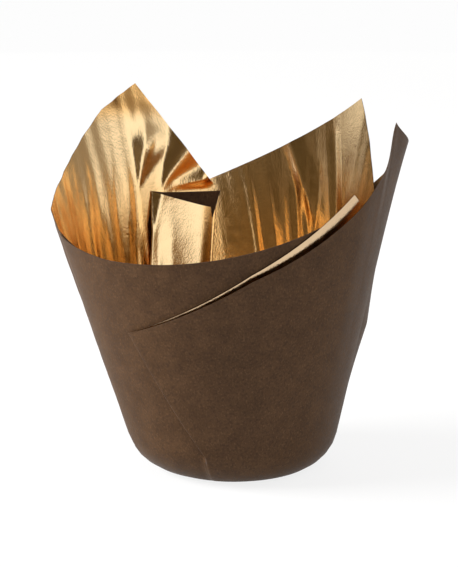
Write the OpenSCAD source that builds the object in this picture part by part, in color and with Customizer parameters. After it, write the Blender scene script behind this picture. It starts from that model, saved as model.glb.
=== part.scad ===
// Tulip baking cup: one square sheet of foil-lined paper pressed round a former.
// Millimetres, z up, the disc stands on z = 0 and its centre is the origin.
// Azimuths are degrees from +x, anticlockwise seen from above; the front is -y.

/* [Body] */
// Radius at which the straight wall's line would meet the table
foot_r = 25.1; // [20:0.5:32]
// Radius of the flat disc inside the rounded foot
disc_r = 16; // [12:0.5:17]
// Slope of the wall from the vertical
wall_angle = 14.65; // [8:0.05:20]
// Lean of the whole cup towards +x
lean_angle = -2.9; // [-5:0.1:5]

/* [Sheet] */
// Thickness of the laminated sheet
sheet_t = 0.15; // [0.1:0.05:0.25]
// Air left between two plies pressed together
ply_gap = 0.3; // [0.2:0.05:0.4]

/* [Corners] */
// Height of the back left corner
back_left_h = 94; // [80:0.1:105]
// Height of the back right corner
back_right_h = 91.1; // [80:0.1:105]
// Height of the right corner
right_h = 91.4; // [80:0.1:105]
// Height of the front corner, tucked under the flap
front_h = 76.1; // [70:0.1:84]
// How far the back left corner bends inwards
left_bend = 1.5; // [0:0.1:4]
// How far the right corner bends inwards
right_bend = 1.8; // [0:0.1:4]

/* [Sides] */
// Height of the cut edge where the back left corner meets the back pleat
back_notch_h = 64.2; // [58:0.1:70]
// Height of the cut edge between the two right corners
right_notch_h = 70.9; // [64:0.1:76]
// Lowest height of the front rim
rim_low_h = 59.9; // [54:0.1:66]
// Height at which the front flap's edge starts from its fold
flap_low_h = 41.2; // [34:0.1:48]

/* [Pleats] */
// Angle from +x of the back pleat's right fold at the edge, in degrees
back_fold_angle = 91.5; // [86:0.5:96]
// Angle from +x that the same fold aims at on the foot, in degrees
back_fold_foot_angle = 99; // [94:0.5:104]
// Width of the panel in the back pleat
back_pleat_w = 18.5; // [10:0.1:22]
// How far the hidden ply's fold lies inside the panel's left edge
back_pleat_tuck = 2.2; // [1:0.1:4]
// How far the back pleat's crest stands off the wall
crest_stand = 0.8; // [0.4:0.1:1.6]
// How far the front flap stands off the ply below it
flap_stand = 0.7; // [0:0.1:1.5]
// Depth of the soft gathers in the back wall
gather = 0.45; // [0:0.05:0.6]
// How far the right pleat is crushed outwards
crush = 1.5; // [0:0.1:2]
// Angle from +x of the middle of the crushed spot, in degrees
crush_angle = 1; // [-4:1:12]
// Height of the middle of the crushed spot
crush_h = 37; // [26:1:42]

/* [Hidden] */
paper_brown = [0.31, 0.22, 0.16];

ply = sheet_t + ply_gap;
half_t = sheet_t / 2;
lean = tan(lean_angle);
wall_tan = tan(wall_angle);

// The foot's fillet touches the table at disc_r and runs into the wall's line.
fillet_r = (foot_r - disc_r) / (sqrt(1 + wall_tan * wall_tan) - wall_tan);
fillet_h = fillet_r * (1 - sin(wall_angle));

// The wall is worked out on the unrolled cone, where folds and cuts are straight.
apex_z = -foot_r / wall_tan;
roll = sin(wall_angle);
function slant(z) = (z - apex_z) / cos(wall_angle);
slant_foot = slant(fillet_h);

function mix(a, b, f) = a + (b - a) * f;

// Angle that a width takes up on the wall at a height
function wide(w, z) = w / (foot_r + z * wall_tan) * 180 / PI;

// Keys round the sheet, one for each fold line, corner or turn of the cut edge.
// 0 azimuth at the foot, 1 plies inwards there, 2 azimuth and 3 height at the edge
// 4 and 5 plies inwards at the edge, arriving and leaving: unequal at a fold
// 6 distance outwards at the edge, 7 bend of the edge, 8 gathers, 9 steps to the next
// 10 azimuth that the fold's straight line aims at on the foot
panel_left = back_fold_angle + wide(back_pleat_w, back_notch_h);
panel_foot = back_fold_foot_angle + wide(back_pleat_w, fillet_h);
tuck_left = panel_left - wide(back_pleat_tuck, back_notch_h);
tuck_foot = panel_foot - wide(back_pleat_tuck, fillet_h);
KEYS = [
    // back left corner
    [126, 1, 118, back_left_h, 1.5, 1.5, 0, -left_bend, 0.3, 12, 124],
    // back pleat: root fold, crest, right fold, hidden fold
    [115, 1.5, back_fold_angle - 0.6, back_notch_h, 2, 3, 0, 0, 0, 6, 103],
    [113.5, 3, panel_left, back_notch_h * 1.01, 3, 4, -crest_stand, 0, 0, 6, panel_foot],
    [112, 3.2, back_fold_angle, back_notch_h * 0.93, 4, 1, 0, 0, 0, 5, 102],
    [110.5, 0.5, tuck_left, back_notch_h * 0.97, 1, 0, 0, 0, 0, 18, tuck_foot],
    // back right corner and the notch beside it
    [50, 0, 37.8, back_right_h, 0, 0, 0, 0, 0.9, 10, 48],
    [28, 1.2, 19.9, right_notch_h, 2, 2, 0, 0, 0.3, 5, 26],
    // right pleat: inner fold, outer fold
    [9, 1.5, -2, right_notch_h * 0.746, 2, 1, 0, 0, 0, 6, 4],
    [7, 0.5, 24, right_notch_h * 0.985, 1, 0, 0, 0, 0, 7, 10],
    // right corner, then the flap's edge down to its fold
    [-6, 0, 0, mix(right_notch_h, right_h, 0.63), 0, 0, flap_stand * 0.5, right_bend * 0.5, 0, 5, 0],
    [-16, 0, -20, right_h, 0, 0, 0, -right_bend, 0, 3, -18],
    [-24, 0, -27, mix(front_h, right_h, 0.285), 0, 0, 0, 0, 0, 4, -25],
    [-36, 0, -39.5, mix(flap_low_h, front_h, 0.903), 0, 0, flap_stand, 0, 0, 9, -37],
    [-70, 0, -79.5, mix(flap_low_h, front_h, 0.45), 0, 0, flap_stand, 0, 0, 8, -72],
    [-103, 0.3, -130.8, flap_low_h, 0, 1, 0, 0, 0, 5, -103],
    // tucked ply up to the front corner, then its inner fold
    [-104, 0.9, -79.5, mix(flap_low_h, front_h, 0.49), 1, 1, 0, 0, 0, 5, -104],
    [-105, 1.3, -42.7, front_h, 1, 1, 0, 0, 0, 2, -105],
    [-105.4, 1.6, -38.1, mix(rim_low_h, front_h, 0.827), 1, 2, 0, 0, 0, 6, -105.4],
    // front rim
    [-107, 2, -57, mix(rim_low_h, front_h, 0.53), 2, 2, 0, 0, 0, 12, -107],
    [-132, 1.5, -134, rim_low_h, 2, 2, 0, 0, 0, 8, -132],
    // left pleat: outer fold, inner fold
    [-160, 0.5, -164, mix(rim_low_h, back_left_h, 0.079), 0, 1, 0, 0, 0, 4, -162],
    [-163, 1.2, -150, mix(rim_low_h, back_left_h, 0.01), 1, 2, 0, 0, 0, 4, -155],
    [-182, 1, -180, mix(rim_low_h, back_left_h, 0.192), 0.9, 0.9, flap_stand, 0, 0.3, 6, -181],
    [-204, 1, -207, mix(rim_low_h, back_left_h, 0.455), 1.1, 1.1, 0, 0, 0.3, 5, -206],
    [-222, 1, -229, mix(rim_low_h, back_left_h, 0.805), 1.3, 1.3, 0, 0, 0.3, 4, -226],
    // the back left corner again, one turn on
    [-234, 1, -242, back_left_h, 1.5, 1.5, 0, -left_bend, 0.3, 0, -236]
];
LAST = len(KEYS) - 1;
FOLD_STEPS = 4;

// Straight cut edge between two keys on the unrolled cone, as [slant, azimuth]
function on_cut(a, b, f) =
    let (sa = slant(a[3]), sb = slant(b[3]), turn = (b[2] - a[2]) * roll)
    let (x = sa + (sb * cos(turn) - sa) * f, y = sb * sin(turn) * f)
    [norm([x, y]), a[2] + atan2(y, x) / roll];
function ease(f) = f * f * (3 - 2 * f);

// A station runs from the disc to the cut edge:
// 0 foot azimuth, 1 plies inwards there, 2 edge azimuth, 3 edge slant, 4 plies inwards,
// 5 distance out, 6 bend, 7 gathers, 8 side shift, 9 azimuth its line aims at
// g spreads a key's stations at the foot
function plain_station(a, b, f, g) =
    let (cut = on_cut(a, b, f), s = ease(f))
    [mix(a[0], b[0], g), mix(a[1], b[1], g), cut[1], cut[0], mix(a[5], b[4], s),
        mix(a[6], b[6], s), mix(a[7], b[7], s),
        mix(a[8], b[8], s) * 4 * f * (1 - f) * sin(f * 900), 0, mix(a[10], b[10], f)];

// Half a turn of the sheet round a fold line; side is the way the ply was running.
function fold_station(a, b, side, f, g) =
    let (turn = 180 * f, r = abs(a[5] - a[4]) * ply / 2)
    [mix(a[0], b[0], g), mix(a[1], b[1], g), a[2], slant(a[3]),
        mix(a[4], a[5], (1 - cos(turn)) / 2), a[6], a[7], 0, side * r * sin(turn), a[10]];

STATIONS = [
    for (i = [0 : LAST - 1])
        let (a = KEYS[i], b = KEYS[i + 1], side = sign(a[2] - KEYS[max(i - 1, 0)][2]))
        let (turns = a[4] == a[5] ? 0 : FOLD_STEPS, all = turns + a[9])
        for (m = [0 : all - 1])
            m < turns ? fold_station(a, b, side, m / turns, m / all)
                : m == turns && turns > 0 ? fold_station(a, b, side, 1, m / all)
                : plain_station(a, b, (m - turns) / a[9], m / all)
];
COUNT = len(STATIONS);

function place(r, az, z) = [r * cos(az) + lean * z, r * sin(az), z + half_t];

// Rows of the sheet's middle surface: disc, rounded foot, wall
function disc_row(share) = [for (st = STATIONS) place(disc_r * share, st[0], 0)];
function foot_row(q) =
    let (turn = q * (90 - wall_angle))
    [
        for (st = STATIONS)
            let (inward = ease(q) * st[1] * ply)
            place(disc_r + (fillet_r - inward) * sin(turn), st[0],
                fillet_r * (1 - cos(turn)) + inward * cos(turn))
    ];
// The right pleat is crushed outwards in a small peak.
CRUSH_HALF_ANGLE = 12;
crush_reach = crush_h * 0.41;
function crushed(az, z) =
    let (across = max(0, 1 - abs(az - crush_angle) / CRUSH_HALF_ANGLE))
    let (along = max(0, 1 - abs(z - crush_h) / crush_reach))
    crush * across * along;

// Above the foot a pleat opens from a gathered bundle into flat plies.
PLEAT_RISE_RATIO = 0.35;
function wall_row(v) =
    let (open = ease(min(v / PLEAT_RISE_RATIO, 1)))
    [
        for (st = STATIONS)
            let (turn = (st[2] - st[9]) * roll)
            let (x = mix(slant_foot, st[3] * cos(turn), v), y = st[3] * sin(turn) * v)
            let (z = apex_z + norm([x, y]) * cos(wall_angle))
            let (az = mix(st[0], st[9], open) + atan2(y, x) / roll)
            let (out = st[5] * v + st[6] * pow(v, 6) + gather * st[7] * v + crushed(az, z))
            let (r = foot_r + z * wall_tan - mix(st[1], st[4], open) * ply + out)
            place(r, az + open * st[8] / r * 180 / PI, z)
    ];
WALL_STEPS = 7;
GRID = concat(
    [disc_row(0.6), foot_row(0), foot_row(0.35), foot_row(0.7)],
    [for (j = [0 : WALL_STEPS]) wall_row(j / WALL_STEPS)]
);
ROWS = len(GRID);

// The middle surface is moved half a thickness along its normal to each side.
function unit(v) = v / max(norm(v), 0.000001);
function face_normal(j, i) =
    let (right = GRID[j][(i + 1) % COUNT], left = GRID[j][(i + COUNT - 1) % COUNT])
    let (above = GRID[min(j + 1, ROWS - 1)][i], below = GRID[max(j - 1, 0)][i])
    j <= 1 ? [0, 0, -1] : unit(cross(above - below, right - left));
function skin(side) = [
    for (j = [0 : ROWS - 1], i = [0 : COUNT - 1])
        GRID[j][i] + side * half_t * face_normal(j, i)
];
SKIN_SIZE = ROWS * COUNT;
function strip(start, j, flip) = [
    for (i = [0 : COUNT - 1])
        let (k = (i + 1) % COUNT, a = start + j * COUNT + i, b = start + j * COUNT + k)
        let (c = b + COUNT, d = a + COUNT)
        each (flip ? [[a, c, b], [a, d, c]] : [[a, b, c], [a, c, d]])
];
function fan(centre, start, flip) = [
    for (i = [0 : COUNT - 1])
        let (k = (i + 1) % COUNT)
        flip ? [centre, start + i, start + k] : [centre, start + k, start + i]
];
function rim_band() = [
    for (i = [0 : COUNT - 1])
        let (k = (i + 1) % COUNT, top = (ROWS - 1) * COUNT)
        let (a = top + i, b = top + k, c = SKIN_SIZE + top + k, d = SKIN_SIZE + top + i)
        each [[a, b, c], [a, c, d]]
];

module liner() {
    color(paper_brown)
    polyhedron(
        points = concat(skin(1), skin(-1), [[0, 0, 0], [0, 0, sheet_t]]),
        faces = concat(
            [for (j = [0 : ROWS - 2]) each strip(0, j, false)],
            [for (j = [0 : ROWS - 2]) each strip(SKIN_SIZE, j, true)],
            fan(2 * SKIN_SIZE, 0, false),
            fan(2 * SKIN_SIZE + 1, SKIN_SIZE, true),
            rim_band()
        ),
        convexity = 12
    );
}

liner();
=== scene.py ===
"""Looks of the tulip baking cup: one square sheet, brown paper outside and gold foil inside.

The sheet is worked out as it is in the part's own source, from the same driving
dimensions, then given the fine creases and crumples that the solid leaves out.
"""
import math
from collections import namedtuple

import bpy
import numpy as np
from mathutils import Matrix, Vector


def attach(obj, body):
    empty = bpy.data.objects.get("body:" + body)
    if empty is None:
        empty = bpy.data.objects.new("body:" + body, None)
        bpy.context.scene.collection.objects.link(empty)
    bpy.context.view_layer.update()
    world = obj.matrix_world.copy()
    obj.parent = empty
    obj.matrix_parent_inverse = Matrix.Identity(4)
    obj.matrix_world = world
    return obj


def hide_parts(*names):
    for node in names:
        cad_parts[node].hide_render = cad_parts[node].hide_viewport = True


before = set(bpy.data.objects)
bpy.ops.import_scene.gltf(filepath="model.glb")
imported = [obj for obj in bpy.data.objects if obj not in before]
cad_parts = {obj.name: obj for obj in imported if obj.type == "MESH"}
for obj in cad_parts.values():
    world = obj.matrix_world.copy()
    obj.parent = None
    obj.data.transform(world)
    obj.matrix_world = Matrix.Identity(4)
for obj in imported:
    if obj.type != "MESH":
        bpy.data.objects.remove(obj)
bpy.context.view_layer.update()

MM = 0.001

# Driving dimensions, as in the source of the part, in millimetres and degrees.
FOOT_R, DISC_R = 25.1, 16.0
WALL_ANGLE, LEAN_ANGLE = 14.65, -2.9
SHEET_T, PLY_GAP = 0.15, 0.3
BACK_LEFT_H, BACK_RIGHT_H, RIGHT_H, FRONT_H = 94.0, 91.1, 91.4, 76.1
RIGHT_BEND = 1.8
BACK_NOTCH_H, RIGHT_NOTCH_H = 64.2, 70.9
RIM_LOW_H, FLAP_LOW_H = 59.9, 41.2
BACK_FOLD_AZ, BACK_FOLD_FOOT_AZ = 91.5, 99.0
BACK_PLEAT_W, BACK_PLEAT_TUCK = 18.5, 2.2
CREST_STAND, FLAP_STAND, GATHER = 0.8, 0.7, 0.45
CRUSH, CRUSH_AZ, CRUSH_H = 1.5, 1.0, 37.0
CRUSH_HALF_ANGLE, CRUSH_REACH = 12.0, CRUSH_H * 0.41
PLEAT_RISE_RATIO = 0.35

# Where the looks depart from the solid. The back left corner curls out and so stands a
# little lower, and the crest stands further in, so that its crease stays clear of the wall.
TIP_AZ, TIP_H = 116.2, BACK_LEFT_H - 0.8
CREST_EXTRA = 0.5
# Small turns of the back pleat's crest and right fold, at the edge and at the foot
CREST_SKEW, FOLD_SKEW = (0.6, 10.0), (2.0, 8.0)

# Mesh density. The rows of the wall crowd towards the cut edge.
DISC_ROWS = 0.35, 0.7
FOOT_ROWS, WALL_ROWS, ROW_CROWDING = 6, 60, 0.75
FOLD_COLUMNS = 6

PLY = SHEET_T + PLY_GAP
HALF_T = SHEET_T / 2
LEAN = math.tan(math.radians(LEAN_ANGLE))
WALL = math.radians(WALL_ANGLE)
WALL_TAN = math.tan(WALL)

# The foot's fillet touches the table at DISC_R and runs into the wall's line.
FILLET_R = (FOOT_R - DISC_R) / (math.hypot(1, WALL_TAN) - WALL_TAN)
FILLET_H = FILLET_R * (1 - math.sin(WALL))

# The wall is worked out on the unrolled cone, where folds and cuts are straight.
APEX_Z = -FOOT_R / WALL_TAN
ROLL = math.sin(WALL)


def slant(z):
    return (z - APEX_Z) / math.cos(WALL)


def wide(width, z):
    """Angle that a width takes up on the wall at a height."""
    return math.degrees(width / (FOOT_R + z * WALL_TAN))


def mix(a, b, f):
    return a + (b - a) * f


def ease(f):
    return f * f * (3 - 2 * f)


def smooth(x, low, high):
    """0 below low, 1 above high, eased between."""
    return ease(np.clip((x - low) / (high - low), 0, 1))


def window(x, rise, fall):
    """0 outside two pairs of bounds, 1 inside them, eased in each pair."""
    return smooth(x, *rise) * (1 - smooth(x, *fall))


SLANT_FOOT = slant(FILLET_H)
PANEL_LEFT = BACK_FOLD_AZ + wide(BACK_PLEAT_W, BACK_NOTCH_H) + CREST_SKEW[0]
PANEL_FOOT = BACK_FOLD_FOOT_AZ + wide(BACK_PLEAT_W, FILLET_H) + CREST_SKEW[1]
TUCK_LEFT = PANEL_LEFT - wide(BACK_PLEAT_TUCK, BACK_NOTCH_H)
TUCK_FOOT = PANEL_FOOT - wide(BACK_PLEAT_TUCK, FILLET_H)
FOLD_EDGE, FOLD_FOOT = BACK_FOLD_AZ + FOLD_SKEW[0], 102 + FOLD_SKEW[1]
CREST_OUT = -CREST_STAND - CREST_EXTRA

# One key for each fold line, corner or turn of the cut edge. Plies count inwards, out is
# the distance outwards at the edge, columns lead to the next key, and the fold's straight
# line aims at the azimuth aim on the foot. The values are those of the part's source, but
# for softer gathers at the back, the tip, the back pleat's three visible folds and the aim
# of the right pleat's inner fold.
Key = namedtuple("Key", "foot_az foot_plies edge_az edge_h arriving leaving "
                        "out bend gathers columns aim")
KEYS = [Key(*values) for values in [
    # back left corner
    (126, 1, TIP_AZ, TIP_H, 1.5, 1.5, 0, 0, 0.3, 62, 124),
    # back pleat: root fold, crest, right fold, hidden fold
    (115, 1.5, BACK_FOLD_AZ - 0.6, BACK_NOTCH_H, 2, 3, 0, 0, 0, 30, 134),
    (113.5, 3, PANEL_LEFT, BACK_NOTCH_H * 1.01, 3, 4, CREST_OUT, 0, 0, 40, PANEL_FOOT),
    (112, 3.2, FOLD_EDGE, BACK_NOTCH_H * 0.93, 4, 1, 0, 0, 0, 10, FOLD_FOOT),
    (110.5, 0.5, TUCK_LEFT, BACK_NOTCH_H * 0.97, 1, 0, 0, 0, 0, 142, TUCK_FOOT),
    # back right corner and the notch beside it
    (50, 0, 37.8, BACK_RIGHT_H, 0, 0, 0, 0, 0.2, 50, 48),
    (28, 1.2, 19.9, RIGHT_NOTCH_H, 2, 2, 0, 0, 0.1, 12, 26),
    # right pleat: inner fold, outer fold
    (9, 1.5, -2, RIGHT_NOTCH_H * 0.746, 2, 1, 0, 0, 0, 8, 5),
    (7, 0.5, 24, RIGHT_NOTCH_H * 0.985, 1, 0, 0, 0, 0, 12, 10),
    # right corner, then the flap's edge down to its fold
    (-6, 0, 0, mix(RIGHT_NOTCH_H, RIGHT_H, 0.63), 0, 0, FLAP_STAND * 0.5, RIGHT_BEND * 0.5, 0, 14, 0),
    (-16, 0, -20, RIGHT_H, 0, 0, 0, -RIGHT_BEND, 0, 10, -18),
    (-24, 0, -27, mix(FRONT_H, RIGHT_H, 0.285), 0, 0, 0, 0, 0, 12, -25),
    (-36, 0, -39.5, mix(FLAP_LOW_H, FRONT_H, 0.903), 0, 0, FLAP_STAND, 0, 0, 26, -37),
    (-70, 0, -79.5, mix(FLAP_LOW_H, FRONT_H, 0.45), 0, 0, FLAP_STAND, 0, 0, 26, -72),
    (-103, 0.3, -130.8, FLAP_LOW_H, 0, 1, 0, 0, 0, 12, -103),
    # tucked ply up to the front corner, then its inner fold
    (-104, 0.9, -79.5, mix(FLAP_LOW_H, FRONT_H, 0.49), 1, 1, 0, 0, 0, 12, -104),
    (-105, 1.3, -42.7, FRONT_H, 1, 1, 0, 0, 0, 4, -105),
    (-105.4, 1.6, -38.1, mix(RIM_LOW_H, FRONT_H, 0.827), 1, 2, 0, 0, 0, 12, -105.4),
    # front rim
    (-107, 2, -57, mix(RIM_LOW_H, FRONT_H, 0.53), 2, 2, 0, 0, 0, 30, -107),
    (-132, 1.5, -134, RIM_LOW_H, 2, 2, 0, 0, 0, 16, -132),
    # left pleat: outer fold, inner fold
    (-160, 0.5, -164, mix(RIM_LOW_H, BACK_LEFT_H, 0.079), 0, 1, 0, 0, 0, 6, -162),
    (-163, 1.2, -150, mix(RIM_LOW_H, BACK_LEFT_H, 0.01), 1, 2, 0, 0, 0, 14, -155),
    (-182, 1, -180, mix(RIM_LOW_H, BACK_LEFT_H, 0.192), 0.9, 0.9, FLAP_STAND, 0, 0.3, 34, -181),
    (-204, 1, -207, mix(RIM_LOW_H, BACK_LEFT_H, 0.455), 1.1, 1.1, 0, 0, 0.3, 26, -206),
    (-222, 1, -229, mix(RIM_LOW_H, BACK_LEFT_H, 0.805), 1.3, 1.3, 0, 0, 0.3, 22, -226),
    # the back left corner again, one turn on
    (-234, 1, TIP_AZ - 360, TIP_H, 1.5, 1.5, 0, 0, 0.3, 0, -236),
]]

# The stretches of sheet from these keys to their next ones
ROOT_KEY, PANEL_KEY, FOLD_KEY = 1, 2, 3
LEFT_FLAP_KEYS = 0, len(KEYS) - 3, len(KEYS) - 2

GATHER_TURN = 900  # degrees of the gathers' waves along one cut
BEND_POWER = 6


def on_cut(a, b, f):
    """Straight cut edge between two keys on the unrolled cone: slant and azimuth."""
    start, end = slant(a.edge_h), slant(b.edge_h)
    turn = math.radians((b.edge_az - a.edge_az) * ROLL)
    x = mix(start, end * math.cos(turn), f)
    y = end * math.sin(turn) * f
    return math.hypot(x, y), a.edge_az + math.degrees(math.atan2(y, x)) / ROLL


# A station is one column of the sheet, from the disc to the cut edge. Its share is how far
# it is along the cut from its key to the next.
Stations = namedtuple("Stations", "foot_az foot_plies edge_az edge_slant plies "
                                  "out bend gathers shift aim key share")


def fold_station(a, side, f):
    """One column of half a turn round a fold; side is the way the ply was running."""
    turn = math.pi * f
    radius = abs(a.leaving - a.arriving) * PLY / 2
    plies = mix(a.arriving, a.leaving, (1 - math.cos(turn)) / 2)
    shift = side * radius * math.sin(turn)
    return a.edge_az, slant(a.edge_h), plies, a.out, a.bend, 0, shift, a.aim


def plain_station(a, b, f):
    """One column of the plain sheet between two keys."""
    edge_slant, edge_az = on_cut(a, b, f)
    s = ease(f)
    waves = 4 * f * (1 - f) * math.sin(math.radians(f * GATHER_TURN))
    return (edge_az, edge_slant, mix(a.leaving, b.arriving, s), mix(a.out, b.out, s),
            mix(a.bend, b.bend, s), mix(a.gathers, b.gathers, s) * waves, 0, mix(a.aim, b.aim, f))


def stations():
    """All stations round the sheet, as one array for each of their values."""
    rows = []
    for i, (a, b) in enumerate(zip(KEYS, KEYS[1:])):
        side = np.sign(a.edge_az - KEYS[max(i - 1, 0)].edge_az)
        turns = 0 if a.arriving == a.leaving else FOLD_COLUMNS
        for m in range(turns + a.columns):
            g = m / (turns + a.columns)
            foot = mix(a.foot_az, b.foot_az, g), mix(a.foot_plies, b.foot_plies, g)
            if turns and m <= turns:
                rows.append((*foot, *fold_station(a, side, m / turns), i, 0))
            else:
                f = (m - turns) / a.columns
                rows.append((*foot, *plain_station(a, b, f), i, f))
    return Stations(*np.array(rows).T)


def place(r, az, z):
    az = np.radians(az)
    return np.stack([r * np.cos(az) + LEAN * z, r * np.sin(az), z + HALF_T + 0 * az], -1)


NOISE_ROWS, NOISE_COLUMNS = 24, 128
NOISE = np.random.default_rng(7).uniform(-1, 1, (NOISE_ROWS, NOISE_COLUMNS))


def noise(az, z, cells, height, layer):
    """Smooth noise from -1 to 1 with so many cells a turn, each so many mm high.

    Each layer reads the table of random values from another place.
    """
    u = az / 360 * cells
    w = z / height + 3.7 * layer
    u0, w0 = np.floor(u).astype(int), np.floor(w).astype(int)
    fu, fw = ease(u - u0), ease(w - w0)

    def at(i, j):
        i = i % cells
        row = (j + 5 * layer + i // NOISE_COLUMNS) % NOISE_ROWS
        return NOISE[row, (i * 7 + 11 * layer) % NOISE_COLUMNS]
    low = mix(at(u0, w0), at(u0 + 1, w0), fu)
    high = mix(at(u0, w0 + 1), at(u0 + 1, w0 + 1), fu)
    return mix(low, high, fw)


# Crinkles of the foil: how deep they are in mm, then their cells a turn, cell height in mm
# and layer of noise. Their windows are azimuths, or heights where the name ends with H.
Crinkles = namedtuple("Crinkles", "depth cells height layer")
SWELL = [Crinkles(0.06, 24, 60, 0)]

LEFT_CRINKLES = [Crinkles(0.36, 90, 50, 1), Crinkles(0.09, 330, 18, 2)]
LEFT_RISE, LEFT_FALL, LEFT_TOP_H = (116, 126), (184, 200), (64, 80)
LEFT_SHEAR, RIGHT_SHEAR, SHEAR_H = 0.32, 0.25, 65.2  # degrees per mm above a height

FUZZ, FUZZ_SHEAR = [Crinkles(0.035, 340, 7, 8)], 0.9
FUZZ_RISE, FUZZ_FALL = (96, 104), (124, 134)
FUZZ_RISE_H, FUZZ_FALL_H = (64, 68), (78, 83)

BACK_CRINKLES = [Crinkles(0.42, 140, 60, 6), Crinkles(0.10, 340, 12, 4)]
BACK_RISE, BACK_FALL = (25, 40), (90, 97)
BACK_WEAK, BACK_WEAK_SHARE = (70, 84), 0.35  # weaker beside the pleat
BACK_SMOOTH, BACK_SMOOTH_SHARE = (50, 64), 0.12  # smoother towards the corner
CALM_RISE, CALM_FALL, CALM_RISE_H, CALM_SHARE = (54, 59), (69, 73), (62, 68), 0.85

# The left flap's tip curls outwards above a line that slants by so many mm a degree.
TIP_CURL, TIP_CURL_H, TIP_CURL_TILT, TIP_CURL_AZ, TIP_CURL_EASE = 0.16, 84.5, 0.22, 118, 5

# The back pleat's panel rolls in at its right fold and leans in towards its foot.
PANEL_ROLL, PANEL_ROLL_FROM = 1.2, 0.80
PANEL_LEAN, PANEL_LEAN_TO, PANEL_LEAN_H, PANEL_LEAN_RISE_H = 0.11, 0.35, BACK_NOTCH_H - 2, (12, 40)

RELIEF_RISE_H = 4, 14  # the foot stays plain

# Single creases: start azimuth and height, end azimuth and height, how wide the crease
# is on its left and on its right, and how far it pushes the wall outwards, in mm.
CREASES = [
    # the crushed fold in the back wall
    (66.5, 81.0, 52.0, 58.0, 3.2, 5.0, -1.1),
    # folds that run down the back wall's right half
    (49.0, 84.0, 41.0, 56.0, 2.2, 3.0, 0.75),
    (52.0, 72.0, 51.0, 52.0, 1.8, 1.5, 0.3),
    # soft dents in the back pleat's panel
    (111, 60, 107, 54, 3.0, 3.4, 0.08),
    (113, 50, 107, 44, 3.0, 3.0, 0.06),
]

# Shares of a crease's length over which it starts and ends, and how hollow its flanks are
CREASE_START, CREASE_END, CREASE_HOLLOW = (-0.15, 0.2), (0.75, 1.15), 1.1

# Fans of straight creases that spread upwards from a point on the plies of some keys:
# azimuth and height of the point, how far the creases deepen and reach, then rays, each
# with its degrees from the vertical, clockwise, and its rise there per mm outwards.
Fan = namedtuple("Fan", "keys az height deepest reach rays")
FANS = [
    Fan(LEFT_FLAP_KEYS, 123.0, 65.2, 12, 24,
        [(-4, 0), (2, 0), (17, -0.18), (23, -0.16), (32, -0.09), (48, 0), (90, 0)]),
    Fan(LEFT_FLAP_KEYS, 113.6, 65.0, 17, 26,
        [(-20, 0), (14, 0), (36, -0.22), (40, -0.22), (63, -0.085), (68, -0.085),
         (79, -0.165), (86, -0.05), (90, 0)]),
    Fan((ROOT_KEY, PANEL_KEY), 120.5, 55.0, 17, 26, [(-5, 0.27), (5, 0.27), (25, 0), (90, 0)]),
]
FAN_SOFTNESS = 0.5  # share by which the flanks between two rays are eased
# Shares of the flap and of the hidden ply along which the fans fade near the root fold
FLAP_FADE, ROOT_FADE = (0.8, 0.98), (0.4, 1)


def on_left_flap(key):
    return np.isin(key, LEFT_FLAP_KEYS)


def on_panel_fold(key, share):
    return (key == FOLD_KEY) & (share == 0)


def crinkled(crinkles, az, z):
    return sum(c.depth * noise(az, z, c.cells, c.height, c.layer) for c in crinkles)


def crinkle_relief(az, z):
    """Fine crinkles that run down the left flap and the back wall."""
    turn = az % 360
    left = window(turn, LEFT_RISE, LEFT_FALL) * (1 - smooth(z, *LEFT_TOP_H))
    fuzz = window(turn, FUZZ_RISE, FUZZ_FALL) * window(z, FUZZ_RISE_H, FUZZ_FALL_H)
    calm = window(turn, CALM_RISE, CALM_FALL) * smooth(z, *CALM_RISE_H)
    back = window(turn, BACK_RISE, BACK_FALL) * mix(1, BACK_WEAK_SHARE, smooth(turn, *BACK_WEAK))
    back = back * (1 - CALM_SHARE * calm) * mix(BACK_SMOOTH_SHARE, 1, smooth(turn, *BACK_SMOOTH))
    return (crinkled(SWELL, az, z)
            + left * crinkled(LEFT_CRINKLES, az + LEFT_SHEAR * (z - SHEAR_H), z)
            + fuzz * crinkled(FUZZ, az + FUZZ_SHEAR * z, z)
            + back * crinkled(BACK_CRINKLES, az - RIGHT_SHEAR * (z - SHEAR_H), z))


def tip_curl(az, z):
    """Outward curl of the left flap's tip."""
    over = np.maximum(z - TIP_CURL_TILT * (az % 360 - TIP_CURL_AZ) - TIP_CURL_H, 0)
    return TIP_CURL * over * smooth(over, 0, TIP_CURL_EASE)


def panel_relief(z, plies, key, share):
    """Roll of the back pleat's panel at its right fold, and its lean towards the foot."""
    fold = KEYS[FOLD_KEY]
    rolled = np.clip((share - PANEL_ROLL_FROM) / (1 - PANEL_ROLL_FROM), 0, 1) ** 2
    turned = np.clip((plies - fold.leaving) / (fold.arriving - fold.leaving), 0, 1)
    turned = np.where(on_panel_fold(key, share), turned, 0)
    swung = np.where(key == PANEL_KEY, smooth(share, 0, PANEL_LEAN_TO),
                     (key == FOLD_KEY) * (1 - share))
    below = np.maximum(PANEL_LEAN_H - z, 0) * smooth(z, *PANEL_LEAN_RISE_H)
    return PANEL_ROLL * np.where(key == PANEL_KEY, rolled, turned) - PANEL_LEAN * swung * below


def crease(az, z, spec):
    """One crease with a sharp ridge and a flat flank on each side."""
    az0, z0, az1, z1, left, right, height = spec
    r = FOOT_R + z0 * WALL_TAN
    u, w = np.radians((az - az0 + 180) % 360 - 180) * r, z - z0
    du, dw = math.radians(az1 - az0) * r, z1 - z0
    length = math.hypot(du, dw)
    along = (u * du + w * dw) / length ** 2
    across = (u * dw - w * du) / length
    flank = np.clip(1 - np.where(across < 0, -across / left, across / right), 0, 1)
    return height * flank ** CREASE_HOLLOW * window(along, CREASE_START, CREASE_END)


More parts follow.
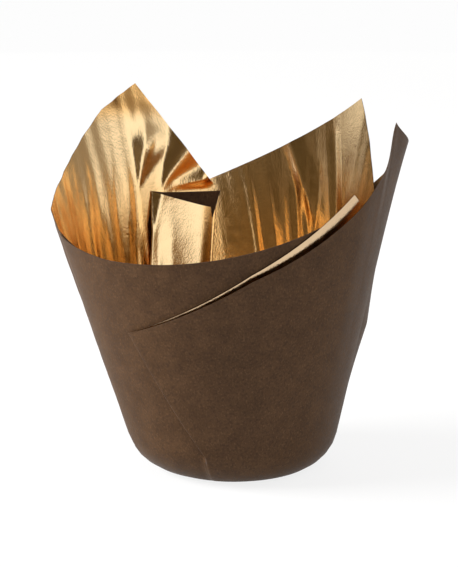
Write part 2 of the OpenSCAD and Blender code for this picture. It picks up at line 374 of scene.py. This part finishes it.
def fan(az, z, spec):
    """Creases of one fan, each as straight as the paper can hold it."""
    u = np.radians(spec.az - az % 360) * (FOOT_R + spec.height * WALL_TAN)
    w = z - spec.height
    reach = np.hypot(u, w)
    angles, rises = zip(*spec.rays)
    ray = np.interp(np.degrees(np.arctan2(u, w)), angles, range(len(rises)))
    low = np.floor(ray).astype(int)
    high = np.minimum(low + 1, len(rises) - 1)
    share = ray - low
    share = mix(share, ease(share), FAN_SOFTNESS)
    rise = mix(np.array(rises)[low], np.array(rises)[high], share)
    fade = 1 - smooth(reach, spec.deepest, spec.reach)
    return rise * np.minimum(reach, spec.deepest) * fade * (w > 0)


def relief(az, z, plies, key, share):
    """How far creases push the wall outwards, in mm."""
    held = np.where(key == 0, 1 - smooth(share, *FLAP_FADE), 1)
    held = np.where(key == ROOT_KEY, smooth(share, *ROOT_FADE), held)
    out = crinkle_relief(az, z) + on_left_flap(key) * tip_curl(az, z)
    out = out + sum(np.isin(key, spec.keys) * held * fan(az, z, spec) for spec in FANS)
    out = out + panel_relief(z, plies, key, share)
    out = out + sum(crease(az, z, spec) for spec in CREASES)
    return out * smooth(z, *RELIEF_RISE_H)


def crushed(az, z):
    """The right pleat is crushed outwards in a small peak."""
    across = np.maximum(0, 1 - abs(az - CRUSH_AZ) / CRUSH_HALF_ANGLE)
    return CRUSH * across * np.maximum(0, 1 - abs(z - CRUSH_H) / CRUSH_REACH)


def foot_row(st, q):
    turn = q * (math.pi / 2 - WALL)
    inward = ease(q) * st.foot_plies * PLY
    r = DISC_R + (FILLET_R - inward) * math.sin(turn)
    return place(r, st.foot_az, FILLET_R * (1 - math.cos(turn)) + inward * math.cos(turn))


def wall_row(st, v):
    opened = ease(min(v / PLEAT_RISE_RATIO, 1))
    turn = np.radians((st.edge_az - st.aim) * ROLL)
    x = mix(SLANT_FOOT, st.edge_slant * np.cos(turn), v)
    y = st.edge_slant * np.sin(turn) * v
    z = APEX_Z + np.hypot(x, y) * math.cos(WALL)
    az = mix(st.foot_az, st.aim, opened) + np.degrees(np.arctan2(y, x)) / ROLL
    out = st.out * v + st.bend * v ** BEND_POWER + GATHER * st.gathers * v + crushed(az, z)
    out = out + relief(az, z, st.plies, st.key, st.share)
    r = FOOT_R + z * WALL_TAN - mix(st.foot_plies, st.plies, opened) * PLY + out
    return place(r, az + opened * np.degrees(st.shift / r), z)


def sheet_grid(st):
    """Middle surface of the sheet: rows from the disc to the cut edge."""
    rows = [place(DISC_R * share, st.foot_az, 0) for share in DISC_ROWS]
    rows += [foot_row(st, q / FOOT_ROWS) for q in range(FOOT_ROWS)]
    rows += [wall_row(st, v) for v in np.linspace(0, 1, WALL_ROWS + 1) ** ROW_CROWDING]
    return np.array(rows)


def sheet_points(grid):
    """Both skins of the sheet, half a thickness to each side, and the two centres."""
    right, left = np.roll(grid, -1, 1), np.roll(grid, 1, 1)
    above = np.concatenate([grid[1:], grid[-1:]])
    below = np.concatenate([grid[:1], grid[:-1]])
    normal = np.cross(above - below, right - left)
    normal /= np.maximum(np.linalg.norm(normal, axis=-1, keepdims=True), 1e-9)
    normal[:len(DISC_ROWS)] = (0, 0, -1)
    return np.concatenate([(grid + HALF_T * normal).reshape(-1, 3),
                           (grid - HALF_T * normal).reshape(-1, 3),
                           [[0, 0, 0], [0, 0, SHEET_T]]]) * MM


OUTSIDE, INSIDE = 0, 1  # material slots


def sheet_faces(rows, cols):
    """Faces of the closed sheet and the material slot of each."""
    skin, top = rows * cols, (rows - 1) * cols
    i = np.arange(cols)
    k = (i + 1) % cols
    blocks = []
    for start in range(0, top, cols):
        a, b = start + i, start + k
        outer = np.stack([a, a + cols, b + cols, b], -1)
        blocks += [(outer, OUTSIDE), (outer[:, ::-1] + skin, INSIDE)]
    blocks += [(np.stack([top + i, skin + top + i, skin + top + k, top + k], -1), OUTSIDE),
               (np.stack([2 * skin + 0 * i, i, k], -1), OUTSIDE),
               (np.stack([2 * skin + 1 + 0 * i, skin + k, skin + i], -1), INSIDE)]
    faces = [tuple(face) for block, _ in blocks for face in block.tolist()]
    slots = [slot for _, slot in blocks for _ in range(cols)]
    return faces, slots


# Painted inter-reflection: the gold is painted a deeper orange in place of light bounced between
# the foil walls, below these heights, on the tip above these, and on the panel past these shares of
# its width.
BOUNCE_BELOW_H, BOUNCE_TIP_H, BOUNCE_PANEL = (52, 78), (83, 88), (0.78, 0.9)


def tucked_ply(st):
    """True on the stations of the front's tucked ply, whose gold side faces outwards and gets a
    painted shade.
    """
    edge_az = np.array([key.edge_az for key in KEYS])
    return (np.diff(edge_az) > 0)[st.key.astype(int)] & (st.edge_az < 0)


def painted_bounce_share(st, z):
    """How much painted inter-reflection deepens the gold's colour, from 0 to 1, at each point of the
    grid.
    """
    bounce = np.maximum(1 - smooth(z, *BOUNCE_BELOW_H), on_left_flap(st.key) * smooth(z, *BOUNCE_TIP_H))
    bounce = np.where(st.key == PANEL_KEY, smooth(st.share, *BOUNCE_PANEL), bounce)
    bounce = np.where(on_panel_fold(st.key, st.share), 1, bounce)
    return np.where(tucked_ply(st), 0, bounce)


def sheet_mesh():
    """Closed sheet of the paper's thickness, with the masks of its gold side's painted
    inter-reflection and painted shade.
    """
    st = stations()
    grid = sheet_grid(st)
    rows, cols = grid.shape[:2]
    skin, top = rows * cols, (rows - 1) * cols
    faces, slots = sheet_faces(rows, cols)
    mesh = bpy.data.meshes.new("liner_sheet")
    mesh.from_pydata(sheet_points(grid).tolist(), [], faces)
    mesh.polygons.foreach_set("material_index", slots)
    mesh.polygons.foreach_set("use_smooth", [True] * len(faces))
    mesh.update()

    ends = np.zeros(len(mesh.edges) * 2, int)
    mesh.edges.foreach_get("vertices", ends)
    on_rim = ((ends % skin) >= top) & (ends < 2 * skin)
    mesh.edges.foreach_set("use_edge_sharp", on_rim.reshape(-1, 2).all(1))

    # depth carries the share of painted inter-reflection on the gold; turned marks the tucked ply's
    # painted shade.
    depth = painted_bounce_share(st, grid[..., 2]).reshape(-1)
    turned = np.tile(tucked_ply(st) * 1.0, rows)
    for name, values in (("depth", depth), ("turned", turned)):
        attribute = mesh.attributes.new(name, "FLOAT", "POINT")
        attribute.data.foreach_set("value", np.concatenate([values, values, [1, 0]]))
    return mesh


class Nodes:
    """Small helper that adds and links the nodes of one material or world."""

    def __init__(self, tree):
        self.tree = tree

    def add(self, kind, inputs=None, **settings):
        node = self.tree.nodes.new(kind)
        for name, value in settings.items():
            setattr(node, name, value)
        for name, value in (inputs or {}).items():
            socket = node.inputs[name]
            if isinstance(value, bpy.types.NodeSocket):
                self.tree.links.new(value, socket)
            else:
                socket.default_value = value
        return node

    def link(self, source, socket):
        self.tree.links.new(source, socket)

    def finish(self, shader_output):
        self.link(shader_output, self.tree.nodes["Material Output"].inputs["Surface"])

    def noise(self, vector, scale, detail):
        return self.add("ShaderNodeTexNoise", {"Vector": vector, "Scale": scale,
                                               "Detail": detail}).outputs["Fac"]

    def stretched(self, vector, scale):
        return self.add("ShaderNodeMapping", {"Vector": vector, "Scale": scale}).outputs[0]

    def attribute(self, name, output="Fac"):
        return self.add("ShaderNodeAttribute", attribute_name=name).outputs[output]

    def ramp(self, value, stops):
        """Colour ramp with two stops of position and colour."""
        node = self.add("ShaderNodeValToRGB", {"Fac": value})
        for element, (position, colour) in zip(node.color_ramp.elements, stops):
            element.position = position
            element.color = (*colour, 1)
        return node.outputs["Color"]

    def roughness(self, value, low, high):
        """Grey from low to high as a noise goes from 0.3 to 0.7."""
        return self.ramp(value, [(0.3, (low,) * 3), (0.7, (high,) * 3)])

    def blend(self, kind, share, a, b):
        """Mix two colours, each a socket or a plain colour."""
        node = self.add("ShaderNodeMix", {"Factor": share}, data_type="RGBA", blend_type=kind)
        for socket, colour in ((node.inputs[6], a), (node.inputs[7], b)):
            if isinstance(colour, bpy.types.NodeSocket):
                self.link(colour, socket)
            else:
                socket.default_value = (*colour, 1)
        return node.outputs[2]

    def bump(self, height, strength, distance, base=None):
        inputs = {"Height": height, "Strength": strength, "Distance": distance}
        if base is not None:
            inputs["Normal"] = base
        return self.add("ShaderNodeBump", inputs).outputs["Normal"]


def new_material(name):
    material = bpy.data.materials.new(name)
    material.use_nodes = True
    tree = material.node_tree
    return material, Nodes(tree), tree.nodes["Principled BSDF"]


# Scales of the noise are cells a metre. Fibres are finer across than along the height.
FIBRE_SCALE = 2600, 2600, 1500
CLOUD_SCALE, GRAIN_SCALE, CRUMPLE_SCALE = 220, 1500, 420
FIBRE_BUMP, CRUMPLE_BUMP = 0.00006, 0.00014

PAPER_DARK, PAPER_PALE = (0.050, 0.0245, 0.0100), (0.066, 0.0332, 0.0142)
FLECK, GRAIN_SHADE = (0.036, 0.020, 0.009), (0.62, 0.60, 0.58)
BLACK, WHITE = (0, 0, 0), (1, 1, 1)
# GOLD_PAINTED_BOUNCE is painted inter-reflection: a warmer orange in place of light bounced between
# the foil walls.
# GOLD_PAINTED_SHADE is painted shade: a duller gold in place of the dim floor that the tucked ply
# mirrors.
GOLD_PALE, GOLD_PAINTED_BOUNCE, GOLD_PAINTED_SHADE = (0.95, 0.69, 0.38), (0.95, 0.57, 0.22), (0.68, 0.49, 0.30)


def brown_paper():
    """Uncoated kraft paper dyed brown: cloudy pulp, short pale and dark fibres."""
    material, nodes, shader = new_material("brown_paper")
    where = nodes.add("ShaderNodeTexCoord").outputs["Object"]
    clouds = nodes.noise(where, CLOUD_SCALE, detail=3)
    grain = nodes.noise(where, GRAIN_SCALE, detail=3)
    flecks = nodes.noise(nodes.stretched(where, FIBRE_SCALE), 1, detail=2)
    tone = nodes.ramp(clouds, [(0.30, PAPER_DARK), (0.70, PAPER_PALE)])
    dark = nodes.ramp(grain, [(0.28, GRAIN_SHADE), (0.55, WHITE)])
    pale = nodes.ramp(flecks, [(0.54, BLACK), (0.80, FLECK)])
    tone = nodes.blend("MULTIPLY", 1, tone, dark)
    tone = nodes.blend("ADD", 1, tone, pale)
    nodes.link(tone, shader.inputs["Base Color"])
    nodes.link(nodes.roughness(grain, 0.50, 0.66), shader.inputs["Roughness"])
    shader.inputs["Specular IOR Level"].default_value = 0.12
    shader.inputs["Sheen Weight"].default_value = 0.04
    shader.inputs["Sheen Roughness"].default_value = 0.35
    rough = nodes.blend("ADD", 1, grain, flecks)
    nodes.link(nodes.bump(rough, 0.35, FIBRE_BUMP), shader.inputs["Normal"])
    return material


def gold_foil():
    """Gold foil laminated on paper, so that the fibres print through as fine pebbles."""
    material, nodes, shader = new_material("gold_foil")
    where = nodes.add("ShaderNodeTexCoord").outputs["Object"]
    # Painted inter-reflection: the gold deepens to orange by the depth attribute, in place of light
    # bounced between the foil walls.
    tone = nodes.blend("MIX", nodes.attribute("depth"), GOLD_PALE, GOLD_PAINTED_BOUNCE)
    # Painted shade: the tucked ply along the cut gets a duller gold in place of the dimmer floor that
    # it mirrors.
    tone = nodes.blend("MIX", nodes.attribute("turned"), tone, GOLD_PAINTED_SHADE)
    nodes.link(tone, shader.inputs["Base Color"])
    shader.inputs["Metallic"].default_value = 1
    pebbles = nodes.noise(nodes.stretched(where, FIBRE_SCALE), 1, detail=2)
    crumple = nodes.noise(where, CRUMPLE_SCALE, detail=3)
    nodes.link(nodes.roughness(crumple, 0.15, 0.24), shader.inputs["Roughness"])
    fine = nodes.bump(pebbles, 0.8, FIBRE_BUMP)
    nodes.link(nodes.bump(crumple, 0.35, CRUMPLE_BUMP, fine), shader.inputs["Normal"])
    return material


sheet = bpy.data.objects.new("liner_sheet", sheet_mesh())
bpy.context.scene.collection.objects.link(sheet)
sheet.data.materials.append(brown_paper())
sheet.data.materials.append(gold_foil())
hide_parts("liner")
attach(sheet, "root")

# Camera at the photograph's viewing angle, fitted to the cup's outline
CAMERA_ELEVATION, CAMERA_DISTANCE = 17.96, 0.531
CAMERA_PITCH, CAMERA_YAW = 12.96, -0.127
FOCAL_PX, FRAME_H_PX = 2020.0, 567

camera_data = bpy.data.cameras.new("camera")
camera_data.sensor_width = 36
camera_data.sensor_fit = "AUTO"
camera_data.lens = FOCAL_PX / FRAME_H_PX * camera_data.sensor_width
camera_data.clip_start = 0.01
camera = bpy.data.objects.new("camera", camera_data)
elevation = math.radians(CAMERA_ELEVATION)
camera.location = Vector((0, -math.cos(elevation), math.sin(elevation))) * CAMERA_DISTANCE
camera.rotation_euler = (math.radians(90 - CAMERA_PITCH), 0, math.radians(-CAMERA_YAW))
bpy.context.scene.collection.objects.link(camera)
bpy.context.scene.camera = camera


def stage_mesh(name, points, faces):
    mesh = bpy.data.meshes.new(name)
    mesh.from_pydata(points, [], faces)
    mesh.update()
    piece = bpy.data.objects.new(name, mesh)
    bpy.context.scene.collection.objects.link(piece)
    return piece


def seen_directly(nodes):
    """1 for camera, glossy and transmission rays, so that metal shows the white too."""
    path = nodes.add("ShaderNodeLightPath").outputs
    total = nodes.add("ShaderNodeMath", {0: path["Is Camera Ray"], 1: path["Is Glossy Ray"]})
    return nodes.add("ShaderNodeMath", {0: total.outputs[0], 1: path["Is Transmission Ray"]},
                     use_clamp=True).outputs[0]


FLOOR_HALF, FLOOR_GREY, FLOOR_WHITE_SHARE = 3.0, 0.9, 0.82


def white_floor():
    """Pale floor that looks white but keeps the cup's shadow."""
    corners = [(x * FLOOR_HALF, y * FLOOR_HALF, 0) for x, y in ((-1, -1), (1, -1), (1, 1), (-1, 1))]
    floor = stage_mesh("floor", corners, [(0, 1, 2, 3)])
    material, nodes, shader = new_material("floor_white")
    shader.inputs["Base Color"].default_value = (FLOOR_GREY, FLOOR_GREY, FLOOR_GREY, 1)
    shader.inputs["Roughness"].default_value = 0.9
    white = nodes.add("ShaderNodeEmission", {"Color": (*WHITE, 1), "Strength": 1.0})
    share = nodes.add("ShaderNodeMath", {0: seen_directly(nodes), 1: FLOOR_WHITE_SHARE},
                      operation="MULTIPLY")
    blend = nodes.add("ShaderNodeMixShader", {"Fac": share.outputs[0], 1: shader.outputs[0],
                                              2: white.outputs[0]})
    nodes.finish(blend.outputs[0])
    floor.data.materials.append(material)


# A ring of soft cards round the table, unseen by the camera, for the foil to mirror:
# azimuth and brightness below the two angles of rise in CARD_TOP, and above them.
RING_R, RING_H, RING_Z = 0.95, 2.4, 0.002
RING_COLUMNS, RING_ROWS = 120, 60
CARD_TOP = 21, 31
LOWER_CARDS = [(-180, 0.50), (-172, 0.40), (-162, 0.12), (-150, 0.07), (-143, 0.32), (-136, 0.08),
               (-126, 0.06), (-119, 0.28), (-112, 0.08), (-105, 0.25), (-98, 0.07), (-88, 0.07),
               (-79, 1.2), (-17, 1.2), (-7, 1.1), (0, 0.42), (10, 0.33), (40, 0.3), (62, 1.0),
               (114, 1.0), (124, 0.09), (148, 0.09), (158, 0.85), (168, 0.85), (173, 0.55),
               (180, 0.50)]
UPPER_CARDS = [(-180, 0.5), (-160, 0.08), (-88, 0.08), (-79, 1.2), (-36, 1.2), (-28, 0.38),
               (0, 0.34), (12, 0.08), (50, 0.08), (70, 1.0), (118, 1.0), (132, 0.09),
               (160, 0.09), (180, 0.5)]
# A dim card is warm: its green and blue shares, up to neutral between two brightnesses
DIM_GREEN, DIM_BLUE, WARM_BELOW = 0.70, 0.36, (0.05, 0.6)


def card_glow(degrees, rise):
    level = np.interp(degrees, *zip(*LOWER_CARDS))
    upper = np.interp(degrees, *zip(*UPPER_CARDS))
    level = float(mix(level, upper, smooth(rise, *CARD_TOP)))
    pale = float(smooth(level, *WARM_BELOW))
    return level, level * mix(DIM_GREEN, 1, pale), level * mix(DIM_BLUE, 1, pale), 1


def card_ring():
    points, glows = [], []
    for row in range(RING_ROWS + 1):
        height = RING_H * row / RING_ROWS
        rise = math.degrees(math.atan2(height, RING_R))
        for column in range(RING_COLUMNS + 1):
            degrees = mix(-180, 180, column / RING_COLUMNS)
            az = math.radians(degrees)
            points.append((RING_R * math.cos(az), RING_R * math.sin(az), height + RING_Z))
            glows += card_glow(degrees, rise)
    starts = [row * (RING_COLUMNS + 1) + column
              for row in range(RING_ROWS) for column in range(RING_COLUMNS)]
    faces = [(a, a + 1, a + RING_COLUMNS + 2, a + RING_COLUMNS + 1) for a in starts]
    ring = stage_mesh("card_ring", points, faces)
    ring.visible_camera = False
    ring.data.attributes.new("glow", "FLOAT_COLOR", "POINT").data.foreach_set("color", glows)
    material, nodes, _ = new_material("card_ring")
    glow = nodes.add("ShaderNodeEmission", {"Color": nodes.attribute("glow", "Color"),
                                            "Strength": 1.0})
    nodes.finish(glow.outputs[0])
    ring.data.materials.append(material)


LAMP_SIZE, LAMP_AIM = 0.6, Vector((0, 0, 0.05))


def soft_lamp(name, place, energy):
    """Square lamp aimed at the middle of the cup; the foil shows the cards instead."""
    data = bpy.data.lights.new(name, "AREA")
    data.energy, data.size = energy, LAMP_SIZE
    lamp = bpy.data.objects.new(name, data)
    lamp.location = Vector(place)
    lamp.visible_glossy = False
    lamp.rotation_euler = (LAMP_AIM - lamp.location).to_track_quat("-Z", "Y").to_euler()
    bpy.context.scene.collection.objects.link(lamp)


def white_world():
    world = bpy.data.worlds.new("studio_white")
    world.use_nodes = True
    background = world.node_tree.nodes["Background"]
    background.inputs["Color"].default_value = (*WHITE, 1)
    background.inputs["Strength"].default_value = 1.0
    bpy.context.scene.world = world


white_floor()
card_ring()
soft_lamp("key", (-0.87, -0.08, 0.40), 27)
soft_lamp("fill", (0.75, 0.10, 0.45), 2)
white_world()
bpy.context.scene.view_settings.view_transform = "Standard"
